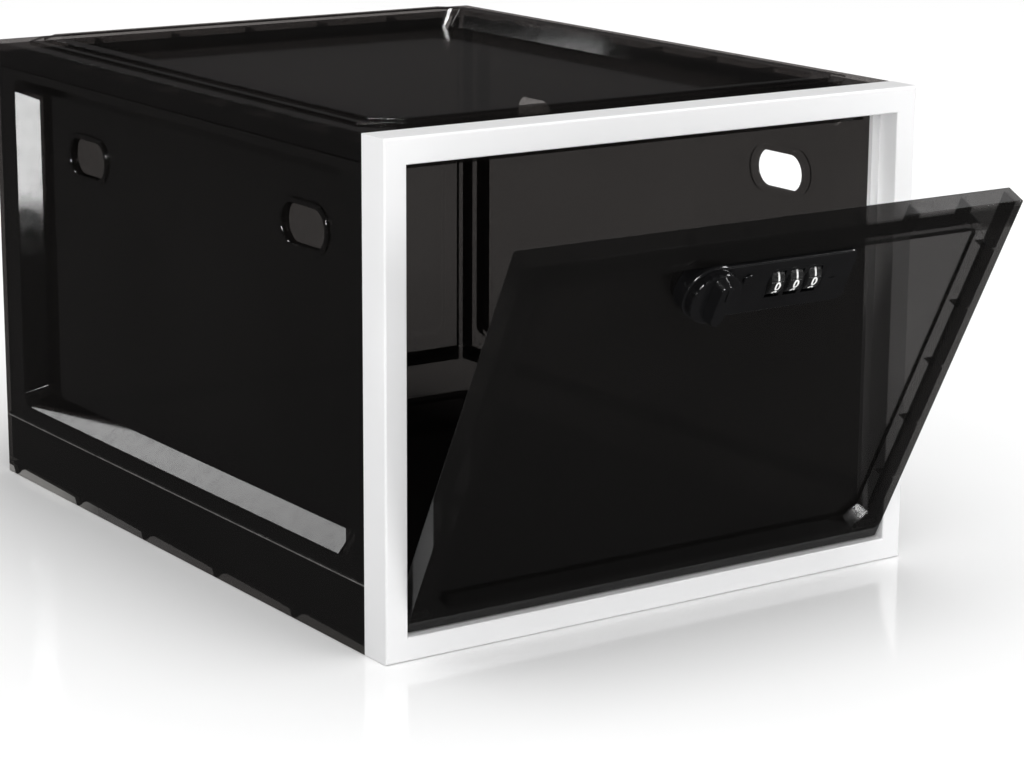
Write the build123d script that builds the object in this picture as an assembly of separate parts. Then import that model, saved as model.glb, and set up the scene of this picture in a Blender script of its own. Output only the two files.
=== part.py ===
from build123d import *
import os
import math

os.makedirs("parts", exist_ok=True)

# ---------------------------------------------------------------------------
# Locking storage box. Millimetres. The part's frame: +X to the right seen from
# the front, the front faces -Y, +Z up, origin at the middle of the front
# frame's foot.
# Shapes are drawn in box coordinates: x 0..W from the left, y 0..D from the
# front, z 0..H from the base, and moved to the part's frame at the end.
# ---------------------------------------------------------------------------
W, D, H = 250.0, 325.0, 196.0        # body width, depth, height
ORIGIN_Y = 8.0                       # the origin's distance behind the front plane
WALL = 2.0                           # moulded wall
SKIRT = 1.8                          # overlapping outer skirts

# front frame
FRAME_SKIRT = 15.2                   # depth of the frame's outer skirt
FRAME_WEB = 12.4                     # depth of its inner reveal
BORDER_SIDE = 9.5
BORDER_BOTTOM = 9.2
OPEN_TOP = 185.8                     # top of the front opening
LIP = 3.8                            # stop lip, side and bottom
LIP_FRONT = 10.4                     # front face of the stop lip

# trays
TOP_SKIRT = 10.4                     # height of the top tray's skirt
TRAY_H = 27.0                        # height of the bottom tray's walls
FLOOR_Z0, FLOOR_Z1 = 4.0, 6.0        # floor plate
STEP_H, RIM_H = 0.9, 2.0             # stacking ledge and rim above H
TOP_WIN_Z = 190.5                    # upper face of the recessed top window

# side and back windows
REC = 9.0                            # recess depth of the side windows
BEV = 6.3                            # width of their bevel
SIDE_Y0, SIDE_Y1 = 28.2, 304.6       # recess outline on the outer face
SIDE_Z0, SIDE_Z1 = 34.4, 181.6
BACK_REC, BACK_BEV = 6.0, 4.6
SLOT_L, SLOT_H = 32.0, 15.5          # obround finger slots
SLOT_Z = 152.4
SLOT_Y = (71.6, 252.0)

# door (drawn closed)
DOOR_X0, DOOR_X1 = 10.5, 239.5
DOOR_Z0, DOOR_Z1 = 11.2, 182.0
DOOR_Y0, DOOR_T = 1.0, 9.0
DOOR_WALL = 1.8
DOOR_REC = 5.0                       # recess depth of the door's window
DOOR_BEV = 2.5
DOOR_CUT = 7.0                       # cut corners of the window
HINGE_Y, HINGE_Z = 5.5, 15.7
PIN_R, PIN_BORE_R = 2.0, 2.06
DOOR_REST_DEG = 27.0                 # opening angle of the stored pose

# lock, on the door; depths d are measured inwards from the door's front face
KX, KZ = 97.0, 158.7                 # knob axis
LOCK_OUT = -1.5                      # front face of the housing
LOCK_Z0, LOCK_Z1 = 147.0, 170.1
LOCK_X1 = 162.6
BOSS_R = 12.0
DIAL_X = (126.9, 135.5, 144.1)
DIAL_D, DIAL_R, DIAL_W = 4.0, 6.6, 6.0
BTN_X, BTN_Z = 112.0, KZ + 4.7      # code-change button
COVER_D = 12.2
CAM_D0, CAM_D1 = 12.9, 14.9
CAM_LEN = 29.0
KNOB_R = 11.0


# ------------------------------ helpers ------------------------------------
def bx(x0, x1, y0, y1, z0, z1):
    return Pos((x0 + x1) / 2, (y0 + y1) / 2, (z0 + z1) / 2) * Box(x1 - x0, y1 - y0, z1 - z0)


def cyl_x(r, x0, x1, y, z):
    return Pos((x0 + x1) / 2, y, z) * Rot(0, 90, 0) * Cylinder(r, x1 - x0)


def cyl_y(r, y0, y1, x, z):
    return Pos(x, (y0 + y1) / 2, z) * Rot(90, 0, 0) * Cylinder(r, y1 - y0)


def cyl_z(r, z0, z1, x, y):
    return Pos(x, y, (z0 + z1) / 2) * Cylinder(r, z1 - z0)


def rr(a0, a1, b0, b1, r):
    """Rounded rectangle in a plane's own (a, b) coordinates."""
    return Pos((a0 + a1) / 2, (b0 + b1) / 2) * RectangleRounded(a1 - a0, b1 - b0, r)


def pl_x(x):     # plane at x, local axes (y, z)
    return Plane(origin=(x, 0, 0), x_dir=(0, 1, 0), z_dir=(1, 0, 0))


def pl_y(y):     # plane at y, local axes (x, z), normal -Y
    return Plane(origin=(0, y, 0), x_dir=(1, 0, 0), z_dir=(0, -1, 0))


def pl_z(z):
    return Plane(origin=(0, 0, z), x_dir=(1, 0, 0), z_dir=(0, 0, 1))


def frustum(p0, s0, p1, s1):
    """Ruled solid between two rounded rectangles on two planes."""
    return loft([p0 * rr(*s0), p1 * rr(*s1)], ruled=True)


def grow(s, g, dr=0.0):
    return (s[0] - g, s[1] + g, s[2] - g, s[3] + g, max(s[4] + dr, 0.6))


def chamfered_rect(x0, x1, y0, y1, c):
    return Polygon((x0 + c, y0), (x1 - c, y0), (x1, y0 + c), (x1, y1 - c), (x1 - c, y1),
                   (x0 + c, y1), (x0, y1 - c), (x0, y0 + c), align=None)


def cut_frustum(p0, s0, p1, s1):
    """Ruled solid between two rectangles with cut corners, each given as (a0, a1, b0, b1, cut)."""
    return loft([p0 * chamfered_rect(*s0), p1 * chamfered_rect(*s1)], ruled=True)


def grow_cut(s, g):
    """Offset a rectangle with cut corners; the cut grows so that all eight sides move by g."""
    return (s[0] - g, s[1] + g, s[2] - g, s[3] + g, s[4] + g * (2 - math.sqrt(2)))


def obround(plane, ca, cb, length, height, depth):
    return extrude(plane * (Pos(ca, cb) * SlotOverall(length, height)), depth)


def soften(part, edges, r):
    """Fillet edges where the geometry allows it, smallest radius last."""
    for rad in (r, r * 0.6, r * 0.35):
        try:
            out = fillet(edges, rad)
            if out.is_valid and out.volume > 0:
                return out
        except Exception:
            pass
    return part


def single(s):
    sol = s.solids()
    return sol[0] if len(sol) == 1 else Compound(children=list(sol))


# ------------------------------ front frame --------------------------------
def make_front_frame():
    f = bx(0, W, 0, FRAME_SKIRT, 0, H)
    # rounded outer front edges
    f = soften(f, [e for e in f.edges() if e.center().Y < 0.01], 0.9)
    # front opening, back to the stop lip
    f -= bx(BORDER_SIDE, W - BORDER_SIDE, -1, LIP_FRONT, BORDER_BOTTOM, OPEN_TOP)
    # opening through the stop lip
    f -= bx(BORDER_SIDE + LIP, W - BORDER_SIDE - LIP, -1, FRAME_SKIRT + 1,
            BORDER_BOTTOM + LIP, OPEN_TOP)
    # the skirt runs on behind the web
    f -= bx(SKIRT, W - SKIRT, FRAME_WEB, FRAME_SKIRT + 1, SKIRT, H - SKIRT)
    # hollow channel behind the front face, open to the back
    ch = bx(SKIRT, W - SKIRT, WALL, FRAME_WEB + 1, SKIRT, H - SKIRT)
    ch -= bx(BORDER_SIDE - WALL, W - BORDER_SIDE + WALL, 0, FRAME_SKIRT,
             BORDER_BOTTOM - WALL, OPEN_TOP + WALL)
    f -= ch
    # soft edge round the opening
    es = [e for e in f.edges() if e.center().Y < 0.01
          and BORDER_SIDE - 0.1 < e.center().X < W - BORDER_SIDE + 0.1
          and BORDER_BOTTOM - 0.1 < e.center().Z < OPEN_TOP + 0.1 and e.length > 50]
    f = soften(f, es, 0.6)
    # hinge bosses in the channel with their bores
    for sx in (0, 1):
        a, b = (4.3, BORDER_SIDE - 1.0) if sx == 0 else (W - BORDER_SIDE + 1.0, W - 4.3)
        f += cyl_x(4.3, a, b, HINGE_Y, HINGE_Z)
    f -= cyl_x(PIN_BORE_R, 4.0, BORDER_SIDE + 1, HINGE_Y, HINGE_Z)
    f -= cyl_x(PIN_BORE_R, W - BORDER_SIDE - 1, W - 4.0, HINGE_Y, HINGE_Z)
    # stiffening ribs across the channel
    for z in (60, 98, 136):
        for x0, x1 in ((4.6, 7.6), (W - 7.6, W - 4.6)):
            f += bx(x0, x1, 1.5, 5.5, z - 0.7, z + 0.7)
    return f


# ------------------------------ top tray -----------------------------------
TW = (27.5, 222.5, 36.0, 306.0, 9.0)      # top window outline at the bottom of the bevel


def make_top_tray():
    bev_h = H + RIM_H - TOP_WIN_Z
    t = bx(0, W, 15.6, D, H - TOP_SKIRT, H)
    t = soften(t, [e for e in t.edges() if e.center().Z > H - 0.01 and e.center().Y > 20], 0.8)
    vert = [e for e in t.edges() if abs(e.center().Y - D) < 2.0 and e.length > 8 and
            abs(e.center().X - W / 2) > 100 and abs(e.tangent_at(0.5).Z) > 0.9]
    t = soften(t, vert, 2.0)
    # stacking ledge and rim with cut corners
    t += extrude(pl_z(H - 0.5) * chamfered_rect(9, W - 9, 21, 318, 12), STEP_H + 0.5)
    rim = extrude(pl_z(H) * chamfered_rect(15, W - 15, 25.5, 314, 9.5), RIM_H)
    rim = soften(rim, [e for e in rim.edges() if e.center().Z > H + RIM_H - 0.01], 0.5)
    t += rim
    # recessed window with a bevelled edge
    top = grow(TW, 6.0, 5.0)
    t -= frustum(pl_z(TOP_WIN_Z), TW, pl_z(H + RIM_H + 0.01), top)
    edge = [e for e in t.edges() if abs(e.center().Z - H - RIM_H) < 0.05 and 20 < e.center().X < W - 20 and
            28 < e.center().Y < 312.5]
    t = soften(t, edge, 0.45)
    # hollow under the rim, open downwards, and the space under the window plate
    under = bx(SKIRT, W - SKIRT, 17.4, D - SKIRT, H - TOP_SKIRT - 1, H - 1.8)
    keep = frustum(pl_z(TOP_WIN_Z - WALL), grow(TW, 1.0, 1.0),
                   pl_z(H), grow(TW, 6.0 * (H - TOP_WIN_Z + WALL) / bev_h + 1.6, 6.0))
    under -= keep
    t -= under
    # ribs in the hollow
    n = 7
    for i in range(n):
        y = 46 + i * 38.5
        t += bx(4.8, 22.5, y - 0.7, y + 0.7, H - 7.3, H - 1.5) - keep
        t += bx(W - 22.5, W - 4.8, y - 0.7, y + 0.7, H - 7.3, H - 1.5) - keep
    for i in range(5):
        x = 48 + i * 38.5
        t += bx(x - 0.7, x + 0.7, 19.4, 31, H - 7.3, H - 1.5) - keep
        t += bx(x - 0.7, x + 0.7, 311, 320.4, H - 7.3, H - 1.5) - keep
    # front tongue that slides into the frame
    t += bx(6.0, W - 6.0, 7.0, 18.0, H - 4.0, H - 2.2)
    # notches for the side panels' tongues, and room for the latch behind the stop lip
    t -= bx(SKIRT, 4.5, 15, 18, H - TOP_SKIRT - 1, 191.6)
    t -= bx(W - 4.5, W - SKIRT, 15, 18, H - TOP_SKIRT - 1, 191.6)
    t -= bx(10, W - 10, 15, 18, H - TOP_SKIRT - 1, 190.0)
    # draught flange: hangs down behind the latch and shuts the slit above the closed door
    t += bx(13.0, W - 13.0, 16.6, 18.4, 181.2, 194.4)
    return t


# ------------------------------ bottom tray --------------------------------
def make_bottom_tray():
    b = bx(0, W, 15.6, D, 0, TRAY_H)
    vert = [e for e in b.edges() if abs(e.center().Y - D) < 0.1 and abs(e.tangent_at(0.5).Z) > 0.9]
    b = soften(b, vert, 2.0)
    b -= bx(SKIRT, W - SKIRT, 15, D - SKIRT, FLOOR_Z1, TRAY_H + 1)
    b -= bx(SKIRT, W - SKIRT, 15, D - SKIRT, -1, FLOOR_Z0)
    # ribs under the floor: short webs from the skirt
    for y in (68, 128, 192, 252):
        b += bx(1.0, 7.5, y - 0.8, y + 0.8, 0.3, FLOOR_Z0 + 0.5)
        b += bx(W - 7.5, W - 1.0, y - 0.8, y + 0.8, 0.3, FLOOR_Z0 + 0.5)
    for x in (58, 103, 147, 192):
        b += bx(x - 0.8, x + 0.8, D - 7.5, D - 1.0, 0.3, FLOOR_Z0 + 0.5)
    # a shallow step along the floor's edge, behind the skirt
    b += bx(8.2, 9.8, 17.4, D - 8.2, FLOOR_Z0 - 1.6, FLOOR_Z0 + 0.5)
    b += bx(W - 9.8, W - 8.2, 17.4, D - 8.2, FLOOR_Z0 - 1.6, FLOOR_Z0 + 0.5)
    b += bx(8.2, W - 8.2, D - 9.8, D - 8.2, FLOOR_Z0 - 1.6, FLOOR_Z0 + 0.5)
    # front tongue into the frame's lower channel
    b += bx(6.0, W - 6.0, 7.0, 17.0, FLOOR_Z0, FLOOR_Z1)
    # front skirt that closes the underside behind the frame
    b += bx(SKIRT - 0.5, W - SKIRT + 0.5, 15.6, 17.4, 0, FLOOR_Z0 + 0.5)
    return b


# ------------------------------ side panels --------------------------------
def make_side_panel():
    """Left panel; the right one is its mirror image."""
    outer = (SIDE_Y0, SIDE_Y1, SIDE_Z0, SIDE_Z1, 6.0)
    inner = grow(outer, -BEV, -2.5)
    p = bx(0, WALL, 15.6, 319.2, TRAY_H + 0.4, H - TOP_SKIRT - 0.4)
    p = soften(p, [e for e in p.edges() if e.center().X < 0.01], 0.5)
    # tongue that runs into the trays, the frame and behind the back panel
    p += bx(WALL, WALL + 2.0, 7.4, 322.2, 21.0, 191.2)
    # shell of the recess
    k = BEV / REC
    sh0 = grow(outer, 2.44, 1.0)
    sh1 = grow(outer, 2.44 - k * (REC + WALL), -2.5)
    p += frustum(pl_x(0.3), sh0, pl_x(REC + WALL), sh1)
    # collars round the slots
    for y in SLOT_Y:
        p += obround(pl_x(REC - 1.1), y, SLOT_Z, SLOT_L + 5.0, SLOT_H + 5.0, WALL + 2.2)
    p -= frustum(pl_x(-0.01), outer, pl_x(REC), inner) - sum_slots(REC - 1.1)
    edge = [e for e in p.edges() if abs(e.center().X) < 0.05 and SIDE_Y0 - 1 < e.center().Y < SIDE_Y1 + 1 and
            SIDE_Z0 - 1 < e.center().Z < SIDE_Z1 + 1]
    p = soften(p, edge, 0.5)
    # finger slots right through
    for y in SLOT_Y:
        p -= obround(pl_x(-1), y, SLOT_Z, SLOT_L, SLOT_H, REC + WALL + 6)
    es = [e for e in p.edges() if 1.0 < e.center().X < REC + WALL + 2 and
          any(abs(e.center().Y - y) < SLOT_L / 2 + 3.0 for y in SLOT_Y) and
          abs(e.center().Z - SLOT_Z) < SLOT_H / 2 + 3.0 and
          (abs(e.center().X - (REC - 1.1)) < 0.02 or abs(e.center().X - (REC + WALL + 1.1)) < 0.02)]
    p = soften(p, es, 0.9)
    return p


def sum_slots(x0):
    s = None
    for y in SLOT_Y:
        o = obround(pl_x(x0), y, SLOT_Z, SLOT_L + 5.0, SLOT_H + 5.0, WALL + 2.2)
        s = o if s is None else s + o
    return s


# ------------------------------ back panel ---------------------------------
def make_back_panel():
    z0, z1 = TRAY_H + 0.4, H - TOP_SKIRT - 0.4
    b = bx(0, W, 319.6, D, z0, z1)
    vert = [e for e in b.edges() if abs(e.center().Y - D) < 0.1 and abs(e.tangent_at(0.5).Z) > 0.9]
    b = soften(b, vert, 2.0)
    b -= bx(SKIRT, W - SKIRT, 319, D - WALL, z0 - 1, z1 + 1)
    # tongue into the trays
    b += bx(7.0, W - 7.0, D - 4.0, D - WALL, 21.0, 191.2)
    outer = (14.0, W - 14.0, SIDE_Z0, SIDE_Z1, 6.0)
    k = BACK_BEV / BACK_REC
    sh0 = grow(outer, 2.3, 1.0)
    sh1 = grow(outer, 2.3 - k * (BACK_REC + WALL), -2.0)
    b += frustum(pl_y(D - BACK_REC - WALL), sh1, pl_y(D - 0.3), sh0)
    b -= frustum(pl_y(D - BACK_REC), grow(outer, -BACK_BEV, -2.0), pl_y(D + 0.01), outer)
    edge = [e for e in b.edges() if abs(e.center().Y - D) < 0.05 and outer[0] - 1 < e.center().X < outer[1] + 1 and
            SIDE_Z0 - 1 < e.center().Z < SIDE_Z1 + 1]
    b = soften(b, edge, 0.5)
    return b


# ------------------------------ door ---------------------------------------
def dy(d):
    return DOOR_Y0 + d


def make_door_panel():
    rear = dy(DOOR_T)
    p = bx(DOOR_X0, DOOR_X1, DOOR_Y0, rear, DOOR_Z0, DOOR_Z1)
    # round the rear lower edge about the hinge axis, soften the rest
    low_back = [e for e in p.edges() if abs(e.center().Y - rear) < 0.01 and abs(e.center().Z - DOOR_Z0) < 0.01]
    p = fillet(low_back, HINGE_Z - DOOR_Z0 - 0.02)
    low_front = [e for e in p.edges() if abs(e.center().Y - DOOR_Y0) < 0.01 and abs(e.center().Z - DOOR_Z0) < 0.01]
    p = fillet(low_front, 0.6)
    top_es = [e for e in p.edges() if abs(e.center().Z - DOOR_Z1) < 0.01]
    p = soften(p, top_es, 0.5)
    fr = [e for e in p.edges() if abs(e.center().Y - DOOR_Y0) < 0.01 and e.length > 100 and
          abs(e.tangent_at(0.5).Z) > 0.9]
    p = soften(p, fr, 0.5)
    # recessed window
    out = (DOOR_X0 + 10.1, DOOR_X1 - 10.1, DOOR_Z0 + 8.1, DOOR_Z1 - 11.7, DOOR_CUT)
    inn = grow_cut(out, -DOOR_BEV)
    p -= cut_frustum(pl_y(dy(DOOR_REC)), inn, pl_y(DOOR_Y0 - 0.01), out)
    edge = [e for e in p.edges() if abs(e.center().Y - DOOR_Y0) < 0.02 and
            DOOR_X0 + 6 < e.center().X < DOOR_X1 - 6 and DOOR_Z0 + 5 < e.center().Z < DOOR_Z1 - 5]
    p = soften(p, edge, 0.45)
    # everything behind the window plate is open
    p -= extrude(pl_y(rear + 1) * chamfered_rect(*out), 1 + DOOR_T - DOOR_REC - 2.0)
    # hollow rim, open to the back
    rim = bx(DOOR_X0 + DOOR_WALL, DOOR_X1 - DOOR_WALL, dy(DOOR_WALL), rear + 1, DOOR_Z0 + DOOR_WALL, DOOR_Z1 - DOOR_WALL)
    rim -= extrude(pl_y(rear + 2) * chamfered_rect(*grow_cut(out, 2.0)), DOOR_T + 4)
    # solid corners that hold the pins, rib at the foot
    rim -= bx(DOOR_X0, DOOR_X0 + 13.5, DOOR_Y0, rear + 1, DOOR_Z0, HINGE_Z + 4.5)
    rim -= bx(DOOR_X1 - 13.5, DOOR_X1, DOOR_Y0, rear + 1, DOOR_Z0, HINGE_Z + 4.5)
    # ribs
    for i in range(8):
        x = 125 + (i - 3.5) * 26.0
        rim -= bx(x - 0.7, x + 0.7, DOOR_Y0, dy(8.7), DOOR_Z1 - 12.5, DOOR_Z1)
        if 0 < i < 7:
            rim -= bx(x - 0.7, x + 0.7, DOOR_Y0, dy(7.0), DOOR_Z0, DOOR_Z0 + 12)
    for i in range(5):
        z = 42 + i * 29.0
        rim -= bx(DOOR_X0, DOOR_X0 + 12.0, DOOR_Y0, dy(7.6), z - 0.7, z + 0.7)
        rim -= bx(DOOR_X1 - 12.0, DOOR_X1, DOOR_Y0, dy(7.6), z - 0.7, z + 0.7)
    p -= rim
    # bores for the hinge pins
    p -= cyl_x(PIN_R, DOOR_X0 - 1, 20.5, HINGE_Y, HINGE_Z)
    p -= cyl_x(PIN_R, W - 20.5, DOOR_X1 + 1, HINGE_Y, HINGE_Z)
    # lock cut-out, spindle hole and screw holes
    p -= bx(106.5, 156.6, dy(DOOR_REC - 1), dy(DOOR_REC + 3), KZ - 9.0, KZ + 9.0)
    p -= cyl_y(6.2, dy(DOOR_REC - 1), dy(DOOR_REC + 3), KX, KZ)
    for x, z in SCREWS:
        p -= cyl_y(1.3, dy(DOOR_REC - 1), dy(DOOR_REC + 3), x, z)
    # the window's bevel is notched round the lock's housing
    p -= keyhole(-2.0, DOOR_REC, KX - 4, LOCK_X1 + 0.1, LOCK_Z0 - 0.1, LOCK_Z1 + 0.1, 3.5, BOSS_R + 0.1)
    return p


SCREWS = ((103.5, KZ - 7.8), (103.5, KZ + 7.8), (159.9, KZ - 7.0), (159.9, KZ + 7.0))


def make_hinge_pins():
    a = cyl_x(PIN_R, 4.8, 20.5, HINGE_Y, HINGE_Z)
    b = cyl_x(PIN_R, W - 20.5, W - 4.8, HINGE_Y, HINGE_Z)
    out = []
    for s, xe in ((a, 4.8), (b, W - 4.8)):
        es = [e for e in s.edges() if abs(e.center().X - xe) < 0.01]
        out.append(chamfer(es, 0.4).solids()[0])
    return Compound(children=out)


# ------------------------------ lock ---------------------------------------
def keyhole(d0, d1, x0, x1, z0, z1, r_corner, r_boss):
    """Rounded bar joined to a round boss on the knob's axis, from depth d0 to d1."""
    s = extrude(pl_y(dy(d1)) * rr(x0, x1, z0, z1, r_corner), d1 - d0)
    s += cyl_y(r_boss, dy(d0), dy(d1), KX, KZ)
    return s


def make_lock_housing():
    h = keyhole(LOCK_OUT, DOOR_REC, KX - 4, LOCK_X1, LOCK_Z0, LOCK_Z1, 3.5, BOSS_R)
    es = [e for e in h.edges() if abs(e.center().Y - dy(LOCK_OUT)) < 0.01]
    h = soften(h, es, 1.0)
    # cavity for the dials
    h -= bx(107.2, 155.6, dy(-0.3), dy(DOOR_REC + 1), KZ - 8.3, KZ + 8.3)
    # dial windows with a shallow tapered well
    for x in DIAL_X:
        h -= bx(x - 3.3, x + 3.3, dy(LOCK_OUT - 1), dy(0.5), KZ - 5.8, KZ + 5.8)
    well = loft([pl_y(dy(LOCK_OUT - 0.01)) * rr(DIAL_X[0] - 5.0, DIAL_X[2] + 5.0, KZ - 7.4, KZ + 7.4, 2.0),
                 pl_y(dy(LOCK_OUT + 0.5)) * rr(DIAL_X[0] - 4.3, DIAL_X[2] + 4.3, KZ - 6.6, KZ + 6.6, 1.6)], ruled=True)
    h -= well
    # knob bearing, button bore, screw pilots
    h -= cyl_y(5.06, dy(LOCK_OUT - 1), dy(DOOR_REC + 1), KX, KZ)
    h -= cyl_y(2.28, dy(LOCK_OUT - 1), dy(0.5), BTN_X, BTN_Z)
    for x, z in SCREWS:
        h -= cyl_y(1.0, dy(0.4), dy(DOOR_REC + 1), x, z)
    # index mark beside the dials
    h -= bx(151.6, 154.2, dy(LOCK_OUT - 1), dy(LOCK_OUT + 0.35), KZ - 0.4, KZ + 0.4)
    return h


def make_lock_back_cover():
    c = keyhole(DOOR_REC + 2.0, 9.5, 100.0, 163.0, KZ - 12.1, KZ + 11.4, 2.5, 10.5)
    c += extrude(pl_y(dy(COVER_D)) * rr(106.0, 157.3, KZ - 9.5, KZ + 9.5, 1.5), COVER_D - 9.0)
    c += cyl_y(7.5, dy(9.0), dy(COVER_D), KX, KZ)
    es = [e for e in c.edges() if abs(e.center().Y - dy(COVER_D)) < 0.01]
    c = soften(c, es, 0.8)
    c -= bx(107.2, 155.6, dy(DOOR_REC), dy(11.0), KZ - 8.3, KZ + 8.3)
    # saddles for the dial axle, post for the button's spring
    c += bx(118.5, 120.5, dy(2.2), dy(11.2), KZ - 2.6, KZ + 2.6)
    c += bx(150.0, 152.0, dy(2.2), dy(11.2), KZ - 2.6, KZ + 2.6)
    c += cyl_y(2.3, dy(6.4), dy(11.2), BTN_X, BTN_Z)
    c -= cyl_x(1.2, 118.0, 152.5, dy(DIAL_D), KZ)
    c -= cyl_y(3.56, dy(DOOR_REC), dy(COVER_D + 1), KX, KZ)
    # room for the spindle's lobe
    c -= cyl_y(5.0, dy(DOOR_REC), dy(9.1), KX, KZ)
    for x, z in SCREWS:
        c -= cyl_y(1.15, dy(DOOR_REC), dy(10.0), x, z)
    return c


def make_lock_screws():
    out = []
    for x, z in SCREWS:
        s = cyl_y(1.0, dy(0.8), dy(9.6), x, z)
        hd = cyl_y(1.9, dy(9.5), dy(10.9), x, z)
        hd = chamfer([e for e in hd.edges() if abs(e.center().Y - dy(10.9)) < 0.01], 0.45)
        hd -= bx(x - 1.2, x + 1.2, dy(10.4), dy(11.5), z - 0.2, z + 0.2)
        hd -= bx(x - 0.2, x + 0.2, dy(10.4), dy(11.5), z - 1.2, z + 1.2)
        out.append((s + hd).solids()[0])
    return Compound(children=out)


def make_turn_knob():
    d0 = LOCK_OUT - 0.25
    k = cyl_y(KNOB_R, dy(d0 - 3.2), dy(d0), KX, KZ)
    k = soften(k, [e for e in k.edges() if abs(e.center().Y - dy(d0 - 3.2)) < 0.01], 0.9)
    # scallops round the edge
    for i in range(24):
        a = math.radians(i * 15)
        k -= cyl_y(0.55, dy(d0 - 6), dy(d0 - 0.9), KX + (KNOB_R + 0.1) * math.cos(a), KZ + (KNOB_R + 0.1) * math.sin(a))
    # grip bar
    bar = loft([pl_y(dy(d0 - 2.6)) * (Pos(KX, KZ) * SlotOverall(20.4, 7.6, rotation=90)),
                pl_y(dy(-9.2)) * (Pos(KX, KZ) * SlotOverall(17.6, 5.2, rotation=90))], ruled=True)
    bar = soften(bar, [e for e in bar.edges() if abs(e.center().Y - dy(-9.2)) < 0.01], 0.6)
    k += bar
    # pointer line on the bar
    k -= bx(KX - 0.35, KX + 0.35, dy(-9.6), dy(-8.85), KZ + 2.2, KZ + 7.4)
    # stem in the housing, with a bore for the spindle
    k += cyl_y(5.0, dy(d0 - 0.5), dy(4.6), KX, KZ)
    k -= cyl_y(3.5, dy(-2.5), dy(6.0), KX, KZ)
    return k


def make_lock_spindle():
    s = cyl_y(3.5, dy(-2.5), dy(CAM_D0 - 0.02), KX, KZ)
    s += bx(KX - 1.9, KX + 1.9, dy(CAM_D0 - 0.5), dy(CAM_D1 - 0.1), KZ - 1.9, KZ + 1.9)
    # groove for the retaining clip
    ring = cyl_y(5.0, dy(12.25), dy(12.8), KX, KZ) - cyl_y(3.05, dy(12.0), dy(13.0), KX, KZ)
    s -= ring
    # lobe that moves the slider
    s += cyl_y(4.6, dy(7.4), dy(8.8), KX, KZ) & bx(KX, KX + 6, dy(7.4), dy(8.8), KZ - 2.2, KZ + 2.2)
    s -= cyl_y(1.25, dy(9.0), dy(16.0), KX, KZ)
    return s


def make_retaining_clip():
    c = cyl_y(5.4, dy(12.3), dy(12.75), KX, KZ) - cyl_y(3.1, dy(12.0), dy(13.0), KX, KZ)
    c -= bx(KX - 2.4, KX + 2.4, dy(12.0), dy(13.0), KZ - 6.0, KZ - 1.5)
    return c


def make_latch_cam():
    y0, y1 = dy(CAM_D0), dy(CAM_D1)
    c = cyl_y(7.0, y0, y1, KX, KZ)
    pts = [(KX, KZ - 7.0), (KX + 16.0, KZ - 6.0), (KX + CAM_LEN - 2.5, KZ - 6.0), (KX + CAM_LEN, KZ - 3.5),
           (KX + CAM_LEN, KZ + 3.5), (KX + CAM_LEN - 2.5, KZ + 6.0), (KX + 16.0, KZ + 6.0), (KX, KZ + 7.0)]
    c += extrude(pl_y(y1) * Polygon(*pts, align=None), CAM_D1 - CAM_D0)
    c -= bx(KX - 1.9, KX + 1.9, y0 - 1, y1 + 1, KZ - 1.9, KZ + 1.9)
    return c


def make_cam_washer():
    return cyl_y(4.2, dy(CAM_D1), dy(CAM_D1 + 0.5), KX, KZ) - cyl_y(1.7, dy(CAM_D1 - 1), dy(CAM_D1 + 2), KX, KZ)


def make_cam_screw():
    h = cyl_y(3.0, dy(CAM_D1 + 0.5), dy(CAM_D1 + 2.3), KX, KZ)
    h = chamfer([e for e in h.edges() if abs(e.center().Y - dy(CAM_D1 + 2.3)) < 0.01], 0.7)
    h += cyl_y(1.25, dy(9.6), dy(CAM_D1 + 1.0), KX, KZ)
    h -= bx(KX - 1.9, KX + 1.9, dy(CAM_D1 + 1.5), dy(CAM_D1 + 4), KZ - 0.35, KZ + 0.35)
    h -= bx(KX - 0.35, KX + 0.35, dy(CAM_D1 + 1.5), dy(CAM_D1 + 4), KZ - 1.9, KZ + 1.9)
    return h


def make_dial(x):
    s = cyl_x(DIAL_R, x - DIAL_W / 2, x + DIAL_W / 2, dy(DIAL_D), KZ)
    s = soften(s, list(s.edges().filter_by(GeomType.CIRCLE)), 0.45)
    # ten shallow grip valleys between the numbers
    for i in range(10):
        a = math.radians(i * 36 + 18)
        s -= cyl_x(0.5, x - DIAL_W, x + DIAL_W, dy(DIAL_D) + (DIAL_R + 0.18) * math.cos(a),
                   KZ + (DIAL_R + 0.18) * math.sin(a))
    s -= cyl_x(3.4, x - DIAL_W, x + DIAL_W, dy(DIAL_D), KZ)
    return s


def make_sleeve(x):
    s = cyl_x(3.4, x - 3.2, x + 3.2, dy(DIAL_D), KZ)
    s -= cyl_x(1.25, x - 4, x + 4, dy(DIAL_D), KZ)
    s -= bx(x + 2.9, x + 3.4, dy(DIAL_D) - 0.8, dy(DIAL_D) + 0.8, KZ - 4, KZ - 2.2)
    return s


def make_dial_axle():
    return cyl_x(1.2, 118.6, 151.9, dy(DIAL_D), KZ)


def coil(radius, wire, pitch, height, origin, direction):
    h = Helix(pitch=pitch, height=height, radius=radius)
    prof = Plane(origin=h @ 0, z_dir=h % 0) * Circle(wire)
    s = sweep(prof, path=h, is_frenet=True)
    pl = Plane(origin=origin, z_dir=direction)
    return pl * s


def make_axle_spring():
    return coil(1.75, 0.2, 0.8, 1.6, (147.9, dy(DIAL_D), KZ), (1, 0, 0))


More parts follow.
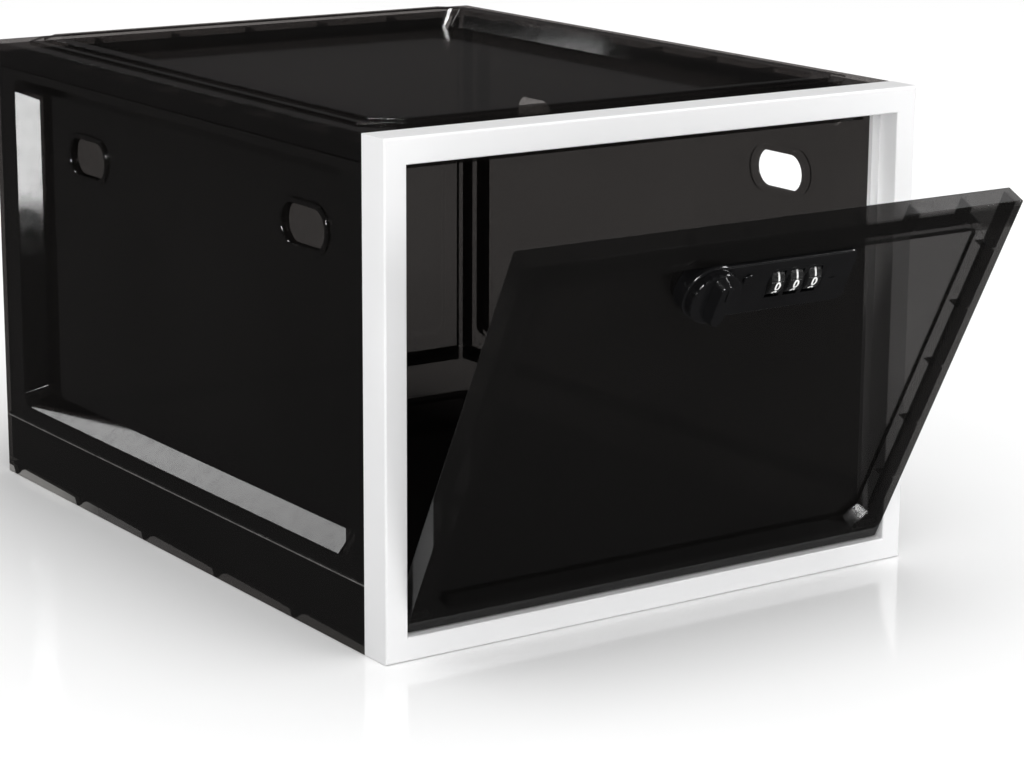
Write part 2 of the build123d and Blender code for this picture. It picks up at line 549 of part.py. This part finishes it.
def make_detent_spring():
    s = bx(123.2, 147.8, dy(2.6), dy(9.4), KZ + 7.2, KZ + 7.5)
    for i, x in enumerate(DIAL_X):
        s += cyl_x(0.45, x - 1.2, x + 1.2, dy(DIAL_D + 0.2), KZ + 7.35)
        if i < 2:
            s -= bx(x + 4.0, x + 4.6, dy(2.0), dy(7.4), KZ + 6, KZ + 9)
    s += bx(123.2, 147.8, dy(8.8), dy(9.4), KZ + 7.2, KZ + 8.3)
    return s


def make_blocking_slider():
    s = bx(108.2, 149.0, dy(6.6), dy(8.8), KZ - 8.05, KZ - 7.0)
    # one finger between each pair of dials
    for x in DIAL_X:
        xc = x - 4.3
        s += bx(xc - 0.4, xc + 0.4, dy(6.6), dy(8.8), KZ - 7.5, KZ - 4.4)
    return s


def make_slider_spring():
    return coil(0.75, 0.15, 0.85, 4.9, (150.3, dy(7.7), KZ - 7.1), (1, 0, 0))


def make_reset_button():
    b = cyl_y(2.2, dy(LOCK_OUT - 0.9), dy(-0.2), BTN_X, BTN_Z)
    b = soften(b, [e for e in b.edges() if abs(e.center().Y - dy(LOCK_OUT - 0.9)) < 0.01], 0.4)
    b += cyl_y(2.9, dy(-0.25), dy(0.6), BTN_X, BTN_Z)
    b += cyl_y(1.1, dy(0.5), dy(3.6), BTN_X, BTN_Z)
    return b


def make_reset_spring():
    return coil(1.75, 0.2, 0.82, 3.9, (BTN_X, dy(2.15), BTN_Z), (0, 1, 0))


# ------------------------------ placing ------------------------------------
TO_ROW = Pos(-W / 2, -ORIGIN_Y, 0)


def open_door(s):
    """Turn a door piece from closed to the stored, part-open pose."""
    return Pos(0, HINGE_Y, HINGE_Z) * Rot(DOOR_REST_DEG, 0, 0) * Pos(0, -HINGE_Y, -HINGE_Z) * s


def save(name, shape):
    export_step(single(TO_ROW * shape), f"parts/{name}.step")


left = make_side_panel()
box_nodes = {
    "front_frame": make_front_frame(),
    "top_tray": make_top_tray(),
    "bottom_tray": make_bottom_tray(),
    "left_side_panel": left,
    "right_side_panel": Pos(W, 0, 0) * mirror(left, Plane.YZ),
    "back_panel": make_back_panel(),
}
door_nodes = {
    "door_panel": make_door_panel(),
    "hinge_pins": make_hinge_pins(),
    "lock_housing": make_lock_housing(),
    "lock_back_cover": make_lock_back_cover(),
    "lock_screws": make_lock_screws(),
    "turn_knob": make_turn_knob(),
    "lock_spindle": make_lock_spindle(),
    "retaining_clip": make_retaining_clip(),
    "latch_cam": make_latch_cam(),
    "cam_washer": make_cam_washer(),
    "cam_screw": make_cam_screw(),
    "number_dial_1": make_dial(DIAL_X[0]),
    "number_dial_2": make_dial(DIAL_X[1]),
    "number_dial_3": make_dial(DIAL_X[2]),
    "code_sleeve_1": make_sleeve(DIAL_X[0]),
    "code_sleeve_2": make_sleeve(DIAL_X[1]),
    "code_sleeve_3": make_sleeve(DIAL_X[2]),
    "dial_axle": make_dial_axle(),
    "axle_spring": make_axle_spring(),
    "detent_spring": make_detent_spring(),
    "blocking_slider": make_blocking_slider(),
    "slider_spring": make_slider_spring(),
    "reset_button": make_reset_button(),
    "reset_spring": make_reset_spring(),
}
for n, s in box_nodes.items():
    save(n, s)
for n, s in door_nodes.items():
    save(n, open_door(s))
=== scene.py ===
import bpy, bmesh, math
from mathutils import Matrix, Vector


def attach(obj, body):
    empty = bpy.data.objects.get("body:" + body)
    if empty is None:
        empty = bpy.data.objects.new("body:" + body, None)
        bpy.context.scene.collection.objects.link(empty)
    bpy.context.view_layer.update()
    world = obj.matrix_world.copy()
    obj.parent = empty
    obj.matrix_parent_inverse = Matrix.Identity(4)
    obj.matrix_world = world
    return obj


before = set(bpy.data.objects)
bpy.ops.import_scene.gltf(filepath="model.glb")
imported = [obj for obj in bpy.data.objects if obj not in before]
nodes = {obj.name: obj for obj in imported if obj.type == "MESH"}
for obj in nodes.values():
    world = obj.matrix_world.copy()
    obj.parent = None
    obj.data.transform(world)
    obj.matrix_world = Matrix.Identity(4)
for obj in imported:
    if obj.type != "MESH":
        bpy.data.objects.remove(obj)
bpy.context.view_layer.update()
scene = bpy.context.scene


# ------------------------------------------------------------------ node help
class Mat:
    """A small helper that builds one procedural material."""

    def __init__(self, name):
        self.m = bpy.data.materials.new(name)
        self.m.use_nodes = True
        self.t = self.m.node_tree
        self.t.nodes.clear()
        self.out = self.node("ShaderNodeOutputMaterial")

    def node(self, kind, **props):
        n = self.t.nodes.new(kind)
        for k, v in props.items():
            setattr(n, k, v)
        return n

    def link(self, a, b):
        self.t.links.new(a, b)

    def coords(self, scale=(1, 1, 1), rot=(0, 0, 0)):
        c = self.node("ShaderNodeTexCoord")
        m = self.node("ShaderNodeMapping")
        m.inputs["Scale"].default_value = scale
        m.inputs["Rotation"].default_value = rot
        self.link(c.outputs["Object"], m.inputs["Vector"])
        return m.outputs["Vector"]

    def noise(self, vec, scale, detail=3.0, rough=0.5):
        n = self.node("ShaderNodeTexNoise")
        n.inputs["Scale"].default_value = scale
        n.inputs["Detail"].default_value = detail
        n.inputs["Roughness"].default_value = rough
        self.link(vec, n.inputs["Vector"])
        return n.outputs["Fac"]

    def remap(self, val, a, b, lo=0.0, hi=1.0):
        r = self.node("ShaderNodeMapRange")
        r.inputs["From Min"].default_value = lo
        r.inputs["From Max"].default_value = hi
        r.inputs["To Min"].default_value = a
        r.inputs["To Max"].default_value = b
        self.link(val, r.inputs["Value"])
        return r.outputs["Result"]

    def ramp(self, val, stops):
        r = self.node("ShaderNodeValToRGB")
        el = r.color_ramp.elements
        while len(el) > 1:
            el.remove(el[-1])
        el[0].position, el[0].color = stops[0][0], (*stops[0][1], 1)
        for p, c in stops[1:]:
            e = el.new(p)
            e.color = (*c, 1)
        self.link(val, r.inputs["Fac"])
        return r.outputs["Color"]

    def bump(self, val, strength, distance, normal=None):
        b = self.node("ShaderNodeBump")
        b.inputs["Strength"].default_value = strength
        b.inputs["Distance"].default_value = distance
        self.link(val, b.inputs["Height"])
        if normal is not None:
            self.link(normal, b.inputs["Normal"])
        return b.outputs["Normal"]

    def principled(self, **vals):
        p = self.node("ShaderNodeBsdfPrincipled")
        for k, v in vals.items():
            p.inputs[k].default_value = v
        return p

    def done(self, shader):
        self.link(shader, self.out.inputs["Surface"])
        return self.m


def smoked(name, through, tint, base, rough=0.06, spec=0.5, wave=0.012, painted_band=None):
    """Clear smoked plastic: part see-through, part glossy black. The last argument gives a band of painted shade: a
    direction, the distances along it where the band begins and ends, and how much of the light the band lets by."""
    a = Mat(name)
    v = a.coords()
    big = a.noise(v, 9.0, 2.0, 0.45)          # slow thickness waves of a moulding
    fine = a.noise(v, 900.0, 2.0, 0.6)
    dust = a.noise(v, 160.0, 4.0, 0.7)
    p = a.principled(**{"Base Color": (*base, 1), "IOR": 1.46, "Specular IOR Level": spec})
    col = a.ramp(big, [(0.3, [c * 0.85 for c in base]), (0.7, [c * 1.2 for c in base])])
    a.link(col, p.inputs["Base Color"])
    a.link(a.remap(dust, rough * 0.6, rough * 1.6, 0.3, 0.7), p.inputs["Roughness"])
    n1 = a.bump(big, 0.25, wave * 0.02)
    n2 = a.bump(fine, 0.03, 0.00002, n1)
    a.link(n2, p.inputs["Normal"])
    t = a.node("ShaderNodeBsdfTransparent")
    tc = a.ramp(big, [(0.25, [c * 0.94 for c in tint]), (0.75, tint)])
    # painted shade: inside this band the see-through colour is darkened, so the band looks darker
    if painted_band:
        along = a.node("ShaderNodeVectorMath", operation="DOT_PRODUCT")
        a.link(v, along.inputs[0])
        along.inputs[1].default_value = painted_band[0]
        dark = a.node("ShaderNodeMix", data_type="RGBA", blend_type="MULTIPLY")
        dark.inputs[0].default_value = 1.0
        a.link(tc, dark.inputs[6])
        f = (painted_band[3],) * 3
        a.link(a.ramp(a.remap(along.outputs["Value"], 0.0, 1.0, painted_band[1], painted_band[2]),
                      [(0.0, (1.0,) * 3), (0.04, f), (0.96, f), (1.0, (1.0,) * 3)]), dark.inputs[7])
        tc = dark.outputs[2]
    a.link(tc, t.inputs["Color"])
    mx = a.node("ShaderNodeMixShader")
    mx.inputs["Fac"].default_value = 1.0 - through
    a.link(t.outputs[0], mx.inputs[1])
    a.link(p.outputs[0], mx.inputs[2])
    return a.done(mx.outputs[0])


def smoked_tray(name, through, tint, base, rough=0.06):
    """The smoked plastic of the bottom tray, with painted light on its foot: between the ribs the foot is coloured
    lighter, standing in for the light that comes through the thin foot.
    """
    a = Mat(name)
    c = a.node("ShaderNodeTexCoord")
    v = c.outputs["Object"]
    big = a.noise(v, 9.0, 2.0, 0.45)
    dust = a.noise(v, 160.0, 4.0, 0.7)
    sep = a.node("ShaderNodeSeparateXYZ")
    a.link(v, sep.inputs[0])
    # height limit of the painted light band on the foot: it runs out in a slant behind each rib
    along = a.node("ShaderNodeMath", operation="MULTIPLY_ADD")
    a.link(sep.outputs["Y"], along.inputs[0])
    along.inputs[1].default_value = 1.0 / 0.062
    along.inputs[2].default_value = -0.0595 / 0.062
    fr = a.node("ShaderNodeMath", operation="FRACT")
    a.link(along.outputs[0], fr.inputs[0])
    lim = a.node("ShaderNodeValToRGB")
    el = lim.color_ramp.elements
    el[0].position, el[0].color = 0.0, (0, 0, 0, 1)
    el[1].position, el[1].color = 1.0, (0, 0, 0, 1)
    for pos, g in ((0.025, 0.0), (0.05, 0.6), (0.16, 0.66), (0.86, 0.80), (0.91, 0.60), (0.965, 0.15)):
        e = el.new(pos)
        e.color = (g, g, g, 1)
    a.link(fr.outputs[0], lim.inputs["Fac"])
    hz = a.remap(sep.outputs["Z"], 0.0, 1.0, 0.0, 0.005)
    d = a.node("ShaderNodeMath", operation="SUBTRACT")
    a.link(lim.outputs["Color"], d.inputs[0])
    a.link(hz, d.inputs[1])
    painted_foot_mask = a.remap(d.outputs[0], 0.0, 1.0, -0.02, 0.03)
    # painted light: the foot's colour gets lighter towards the back
    painted_foot_light = a.ramp(a.remap(sep.outputs["Y"], 0.0, 1.0, 0.0, 0.32),
                   [(0.0, (0.048, 0.046, 0.043)), (0.40, (0.066, 0.062, 0.060)), (0.70, (0.105, 0.102, 0.100)),
                    (0.82, (0.30, 0.295, 0.28)), (1.0, (0.37, 0.36, 0.35))])
    dark = a.ramp(big, [(0.3, [x * 0.85 for x in base]), (0.7, [x * 1.2 for x in base])])
    mix = a.node("ShaderNodeMix", data_type="RGBA")
    a.link(painted_foot_mask, mix.inputs[0])
    a.link(dark, mix.inputs[6])
    a.link(painted_foot_light, mix.inputs[7])
    # painted highlight: the top edge of the tray's wall is coloured lighter, in place of a polished edge catching
    # light
    painted_band = a.node("ShaderNodeMath", operation="COMPARE")
    a.link(sep.outputs["Z"], painted_band.inputs[0])
    painted_band.inputs[1].default_value = 0.02675
    painted_band.inputs[2].default_value = 0.00028
    mix2 = a.node("ShaderNodeMix", data_type="RGBA")
    a.link(painted_band.outputs[0], mix2.inputs[0])
    a.link(mix.outputs[2], mix2.inputs[6])
    a.link(a.ramp(dust, [(0.3, (0.10, 0.098, 0.095)), (0.7, (0.20, 0.195, 0.19))]), mix2.inputs[7])
    p = a.principled(**{"IOR": 1.46})
    a.link(mix2.outputs[2], p.inputs["Base Color"])
    a.link(a.remap(dust, rough * 0.6, rough * 1.6, 0.3, 0.7), p.inputs["Roughness"])
    a.link(a.bump(big, 0.25, 0.00024), p.inputs["Normal"])
    t = a.node("ShaderNodeBsdfTransparent")
    a.link(a.ramp(big, [(0.25, [x * 0.94 for x in tint]), (0.75, tint)]), t.inputs["Color"])
    mx = a.node("ShaderNodeMixShader")
    mx.inputs["Fac"].default_value = 1.0 - through
    a.link(t.outputs[0], mx.inputs[1])
    a.link(p.outputs[0], mx.inputs[2])
    return a.done(mx.outputs[0])


def white_plastic(name):
    a = Mat(name)
    v = a.coords()
    grain = a.noise(v, 1400.0, 3.0, 0.6)
    slow = a.noise(v, 14.0, 2.0, 0.5)
    p = a.principled(**{"IOR": 1.5, "Specular IOR Level": 0.5})
    a.link(a.ramp(slow, [(0.3, (0.865, 0.865, 0.87)), (0.7, (0.895, 0.895, 0.90))]), p.inputs["Base Color"])
    a.link(a.remap(grain, 0.28, 0.42, 0.3, 0.7), p.inputs["Roughness"])
    a.link(a.bump(grain, 0.08, 0.00004, a.bump(slow, 0.1, 0.0002)), p.inputs["Normal"])
    return a.done(p.outputs[0])


def black_gloss(name, base=(0.0060, 0.0060, 0.0064), rough=0.16, grain_scale=1800.0, grain=0.06, spec=0.46):
    a = Mat(name)
    v = a.coords()
    g = a.noise(v, grain_scale, 3.0, 0.6)
    slow = a.noise(v, 40.0, 2.0, 0.5)
    p = a.principled(**{"IOR": 1.5, "Specular IOR Level": spec})
    a.link(a.ramp(slow, [(0.3, [c * 0.8 for c in base]), (0.7, [c * 1.25 for c in base])]), p.inputs["Base Color"])
    a.link(a.remap(g, rough * 0.75, rough * 1.35, 0.3, 0.7), p.inputs["Roughness"])
    a.link(a.bump(g, grain, 0.00003), p.inputs["Normal"])
    return a.done(p.outputs[0])


def metal(name, base, rough, axis=(1, 30, 30)):
    a = Mat(name)
    v = a.coords(scale=axis)
    s = a.noise(v, 500.0, 3.0, 0.6)
    p = a.principled(**{"Metallic": 1.0})
    a.link(a.ramp(s, [(0.3, [c * 0.85 for c in base]), (0.7, base)]), p.inputs["Base Color"])
    a.link(a.remap(s, rough * 0.7, rough * 1.4, 0.3, 0.7), p.inputs["Roughness"])
    a.link(a.bump(s, 0.05, 0.00002), p.inputs["Normal"])
    return a.done(p.outputs[0])


def ink(name, base=(0.86, 0.86, 0.85)):
    a = Mat(name)
    v = a.coords()
    s = a.noise(v, 2500.0, 3.0, 0.6)
    p = a.principled(**{"IOR": 1.5})
    a.link(a.ramp(s, [(0.3, [c * 0.93 for c in base]), (0.7, base)]), p.inputs["Base Color"])
    a.link(a.remap(s, 0.35, 0.55, 0.3, 0.7), p.inputs["Roughness"])
    return a.done(p.outputs[0])


M = {
    "panel": smoked("smoked_panel", 0.172, (1.0, 0.96, 0.94), (0.0055, 0.0052, 0.0050)),
    "top": smoked("smoked_top", 0.36, (1.0, 0.965, 0.95), (0.0055, 0.0052, 0.0050)),
    "tray": smoked_tray("smoked_tray", 0.172, (1.0, 0.96, 0.94), (0.0055, 0.0052, 0.0050)),
    # the door's top rim band is darkened by painted shade
    "door": smoked("smoked_door", 0.235, (1.0, 0.985, 0.975), (0.0055, 0.0052, 0.0050),
                   painted_band=((0.0, -0.45399, 0.89101), 0.1690, 0.1792, 0.5)),
    "white": white_plastic("white_frame"),
    "lock": black_gloss("lock_gloss"),
    "cover": black_gloss("lock_cover", (0.013, 0.013, 0.013), 0.35, 1200.0, 0.2),
    "dial": black_gloss("dial_satin", (0.012, 0.012, 0.012), 0.28),
    "grey": black_gloss("moulded_grey", (0.12, 0.12, 0.12), 0.4, 1200.0, 0.15),
    "steel": metal("plated_steel", (0.55, 0.55, 0.56), 0.3),
    "spring": metal("spring_wire", (0.42, 0.42, 0.43), 0.28),
    "ink": ink("number_ink"),
}
assign = {
    "front_frame": "white", "top_tray": "top", "bottom_tray": "tray", "left_side_panel": "panel",
    "right_side_panel": "panel", "back_panel": "panel", "door_panel": "door", "hinge_pins": "steel",
    "lock_housing": "lock", "lock_back_cover": "cover", "lock_screws": "steel", "turn_knob": "lock",
    "lock_spindle": "steel", "retaining_clip": "spring", "latch_cam": "steel", "cam_washer": "steel",
    "cam_screw": "steel", "number_dial_1": "dial", "number_dial_2": "dial", "number_dial_3": "dial",
    "code_sleeve_1": "grey", "code_sleeve_2": "grey", "code_sleeve_3": "grey", "dial_axle": "steel",
    "axle_spring": "spring", "detent_spring": "spring", "blocking_slider": "grey", "slider_spring": "spring",
    "reset_button": "lock", "reset_spring": "spring",
}
for n, m in assign.items():
    o = nodes[n]
    o.data.materials.clear()
    o.data.materials.append(M[m])

# ------------------------------------------------------------- dial numbers
MM = 0.001
TH = math.radians(27.0)
HINGE = Vector((0.0, (5.5 - 8.0) * MM, 15.7 * MM))


def door_point(x, d, z):
    """Row-frame point of a place on the stored, part-open door: x and z of the closed box, d inwards from its face."""
    y = (1.0 + d - 5.5) * MM
    h = (z - 15.7) * MM
    return Vector(((x - 125.0) * MM, HINGE.y + y * math.cos(TH) - h * math.sin(TH),
                   HINGE.z + y * math.sin(TH) + h * math.cos(TH)))


UP = Vector((0, -math.sin(TH), math.cos(TH)))      # up along the door
OUT = Vector((0, -math.cos(TH), -math.sin(TH)))    # out of the door's face


def digit_mesh(ch, height):
    cu = bpy.data.curves.new("d", "FONT")
    cu.body = ch
    cu.align_x = "CENTER"
    cu.size = 1.0
    cu.offset = 0.030
    o = bpy.data.objects.new("d", cu)
    scene.collection.objects.link(o)
    bpy.context.view_layer.update()
    me = bpy.data.meshes.new_from_object(o)
    bpy.data.objects.remove(o)
    ys = [v.co.y for v in me.vertices]
    k = height / (max(ys) - min(ys))
    mid = (max(ys) + min(ys)) / 2
    for v in me.vertices:
        v.co = Vector((v.co.x * k, (v.co.y - mid) * k, 0))
    return me


def dial_numbers(i, x, r=6.6, shown=0):
    centre = door_point(x, 4.0, 158.7)
    bm = bmesh.new()
    for d in range(10):
        me = digit_mesh(str(d), 3.8 * MM)
        tmp = bmesh.new()
        tmp.from_mesh(me)
        bmesh.ops.triangulate(tmp, faces=tmp.faces)
        bmesh.ops.subdivide_edges(tmp, edges=tmp.edges, cuts=2, use_grid_fill=True)
        a0 = math.radians((d - shown) * 36)
        rad = (r + 0.015) * MM
        for v in tmp.verts:
            a = a0 + v.co.y / rad
            p = centre + OUT * (rad * math.cos(a)) + UP * (rad * math.sin(a))
            p.x = centre.x + v.co.x * 1.02
            v.co = p
        m2 = bpy.data.meshes.new("t")
        tmp.to_mesh(m2)
        bm.from_mesh(m2)
        tmp.free()
    me = bpy.data.meshes.new(f"dial_numbers_{i}")
    bm.to_mesh(me)
    bm.free()
    o = bpy.data.objects.new(f"dial_numbers_{i}", me)
    scene.collection.objects.link(o)
    me.materials.append(M["ink"])
    s = o.modifiers.new("ink", "SOLIDIFY")
    s.thickness = 0.00004
    s.offset = 1
    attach(o, f"dial_{i}")
    return o


for i, x in enumerate((126.9, 135.5, 144.1)):
    dial_numbers(i + 1, x)

# -------------------------------------------------------------------- floor
fm = bpy.data.meshes.new("floor")
s = 6.0
fm.from_pydata([(-s, -s, 0), (s, -s, 0), (s, s, 0), (-s, s, 0)], [], [(0, 1, 2, 3)])
floor = bpy.data.objects.new("floor", fm)
scene.collection.objects.link(floor)
floor.location.z = -0.0002
fl = Mat("floor_white")
fv = fl.coords()
fn = fl.noise(fv, 3.0, 2.0, 0.5)
fp = fl.principled(**{"IOR": 1.45, "Specular IOR Level": 0.32, "Emission Color": (1, 1, 1, 1)})
fl.link(fl.ramp(fn, [(0.3, (0.93, 0.93, 0.93)), (0.7, (0.95, 0.95, 0.95))]), fp.inputs["Base Color"])
fl.link(fl.remap(fn, 0.10, 0.14), fp.inputs["Roughness"])


def vec_math(a, op, first, second=None):
    n = a.node("ShaderNodeVectorMath", operation=op)
    a.link(first, n.inputs[0])
    if second is not None:
        n.inputs[1].default_value = second
    return n.outputs["Value" if op == "LENGTH" else "Vector"]


# painted light: the floor glows more with the distance from the object's foot, so a painted shadow stays around it
away = vec_math(fl, "SUBTRACT", fv, (-0.022, 0.175, 0.0))
away = vec_math(fl, "SUBTRACT", vec_math(fl, "ABSOLUTE", away), (0.110, 0.150, 1.0))
away = vec_math(fl, "LENGTH", vec_math(fl, "MAXIMUM", away, (0.0, 0.0, 0.0)))
painted_floor_light = fl.ramp(fl.remap(away, 0.0, 1.0, 0.0, 0.60),
               [(0.0, (0.0,) * 3), (0.05, (0.05,) * 3), (0.12, (0.12,) * 3), (0.25, (0.20,) * 3), (0.50, (0.32,) * 3), (1.0, (0.46,) * 3)])
fl.link(painted_floor_light, fp.inputs["Emission Strength"])
fl.done(fp.outputs[0])
floor.data.materials.append(fl.m)
floor.visible_glossy = False

# -------------------------------------------------------------------- world
w = bpy.data.worlds.new("studio")
scene.world = w
w.use_nodes = True
wt = w.node_tree
wt.nodes.clear()
wo = wt.nodes.new("ShaderNodeOutputWorld")
lp = wt.nodes.new("ShaderNodeLightPath")


def bg(color, strength):
    b = wt.nodes.new("ShaderNodeBackground")
    b.inputs["Color"].default_value = (*color, 1)
    b.inputs["Strength"].default_value = strength
    return b


cam_bg = bg((1, 1, 1), 1.0)
amb = bg((1, 1, 1), 0.64)
gls = bg((1.0, 0.97, 0.97), 0.058)
m1 = wt.nodes.new("ShaderNodeMixShader")
m2 = wt.nodes.new("ShaderNodeMixShader")
wt.links.new(lp.outputs["Is Glossy Ray"], m1.inputs["Fac"])
wt.links.new(amb.outputs[0], m1.inputs[1])
wt.links.new(gls.outputs[0], m1.inputs[2])
wt.links.new(lp.outputs["Is Camera Ray"], m2.inputs["Fac"])
wt.links.new(m1.outputs[0], m2.inputs[1])
wt.links.new(cam_bg.outputs[0], m2.inputs[2])
wt.links.new(m2.outputs[0], wo.inputs["Surface"])


# ------------------------------------------------------------------- lights
def area(name, at, to, size, power, glossy=True, diffuse=True, size_y=None, color=(1, 1, 1)):
    l = bpy.data.lights.new(name, "AREA")
    l.energy = power
    l.color = color
    l.shape = "RECTANGLE" if size_y else "SQUARE"
    l.size = size
    if size_y:
        l.size_y = size_y
    o = bpy.data.objects.new(name, l)
    scene.collection.objects.link(o)
    o.location = at
    o.rotation_mode = "QUATERNION"
    o.rotation_quaternion = (Vector(to) - Vector(at)).to_track_quat("-Z", "Y")
    o.visible_camera = False
    o.visible_glossy = glossy
    o.visible_diffuse = diffuse
    return o


def sun(name, towards, strength, angle):
    l = bpy.data.lights.new(name, "SUN")
    l.energy = strength
    l.angle = math.radians(angle)
    o = bpy.data.objects.new(name, l)
    scene.collection.objects.link(o)
    o.rotation_mode = "QUATERNION"
    o.rotation_quaternion = Vector(towards).to_track_quat("-Z", "Y")
    o.visible_camera = False
    o.visible_glossy = False
    return o


def spot(name, at, to, power, cone, radius):
    l = bpy.data.lights.new(name, "SPOT")
    l.energy = power
    l.spot_size = math.radians(cone)
    l.spot_blend = 0.6
    l.shadow_soft_size = radius
    o = bpy.data.objects.new(name, l)
    scene.collection.objects.link(o)
    o.location = at
    o.rotation_mode = "QUATERNION"
    o.rotation_quaternion = (Vector(to) - Vector(at)).to_track_quat("-Z", "Y")
    o.visible_camera = False
    o.visible_glossy = False
    return o


def softbox(name, corners, strength):
    """A bright card that only shows in reflections."""
    me = bpy.data.meshes.new(name)
    me.from_pydata([Vector(c) for c in corners], [], [list(range(len(corners)))])
    o = bpy.data.objects.new(name, me)
    scene.collection.objects.link(o)
    c = Mat(name)
    v = c.coords()
    n = c.noise(v, 2.0, 1.0, 0.5)
    e = c.node("ShaderNodeEmission")
    c.link(c.remap(n, strength * 0.92, strength * 1.08, 0.3, 0.7), e.inputs["Strength"])
    me.materials.append(c.done(e.outputs[0]))
    o.visible_camera = o.visible_diffuse = o.visible_transmission = o.visible_shadow = False
    return o


target = (0, 0.13, 0.09)
sun("overhead", (0.03, 0.33, -1.0), 1.35, 55)
area("fill", (-1.6, -1.8, 0.9), target, 1.6, 8, glossy=False)
area("fill_front", (0.9, -2.45, 0.35), target, 1.0, 12.5, glossy=False)
spot("reveal_high", (-1.45, -0.376, 0.165), (0.111, 0.001, 0.163), 29, 3.2, 0.02)
spot("reveal_low", (-1.45, -0.325, 0.13), (0.111, 0.001, 0.118), 32, 3.0, 0.02)
# reflections: cards for the side window's bevels, softboxes for the edges
softbox("card_rear", ((-1.062, -0.603, 0.03), (-1.008, -0.650, 0.03), (-0.998, -0.634, -0.106), (-1.047, -0.587, -0.106)), 23)
softbox("card_low", ((-0.318, 1.330, 0.965), (-0.258, 1.325, 0.975), (-0.226, 1.486, 0.722), (-0.252, 1.541, 0.628)), 3.6)
softbox("card_corner", ((-1.210, -0.641, 0.016), (-1.180, -0.685, 0.016), (-1.180, -0.685, -0.020), (-1.210, -0.641, -0.020)), 26)
softbox("card_doortop", ((0.985, 0.277, 1.125), (1.07, 0.25, 1.06), (1.07, 0.34, 1.09), (0.985, 0.360, 1.155)), 1.1)
softbox("card_sill", ((0.585, -1.160, -0.285), (0.905, -0.938, -0.24), (0.905, -0.938, -0.13), (0.585, -1.160, -0.165)), 2.0)
softbox("card_door", ((-0.0602, -0.1793, 0.1344), (-0.0584, -0.1800, 0.1358), (-0.0610, -0.1733, 0.1420), (-0.0627, -0.1726, 0.1406)), 34)
area("gloss_left", (-1.55, -1.05, 1.05), target, 0.55, 45, diffuse=False)
area("gloss_right", (1.5, -0.9, 0.85), target, 0.45, 22, diffuse=False)
area("gloss_top", (-0.5, 0.9, 1.7), target, 0.5, 25, diffuse=False)

# ------------------------------------------------------------------- camera
yaw, pitch, roll = (math.radians(v) for v in (34.401, 13.761, 0.322))
fwd = Vector((math.sin(yaw) * math.cos(pitch), math.cos(yaw) * math.cos(pitch), -math.sin(pitch)))
right = Vector((math.cos(yaw), -math.sin(yaw), 0))
up = right.cross(fwd)
r2 = right * math.cos(roll) + up * math.sin(roll)
u2 = up * math.cos(roll) - right * math.sin(roll)
cam = bpy.data.cameras.new("camera")
co = bpy.data.objects.new("camera", cam)
scene.collection.objects.link(co)
co.matrix_world = Matrix(((r2.x, u2.x, -fwd.x, -0.6752), (r2.y, u2.y, -fwd.y, -0.8923),
                          (r2.z, u2.z, -fwd.z, 0.3636), (0, 0, 0, 1)))
cam.sensor_width = 36.0
cam.lens = 2980.3 / 1024 * 36.0
cam.clip_start, cam.clip_end = 0.01, 50
scene.camera = co

scene.view_settings.view_transform = "Standard"
scene.cycles.transparent_max_bounces = 48
scene.cycles.max_bounces = 10
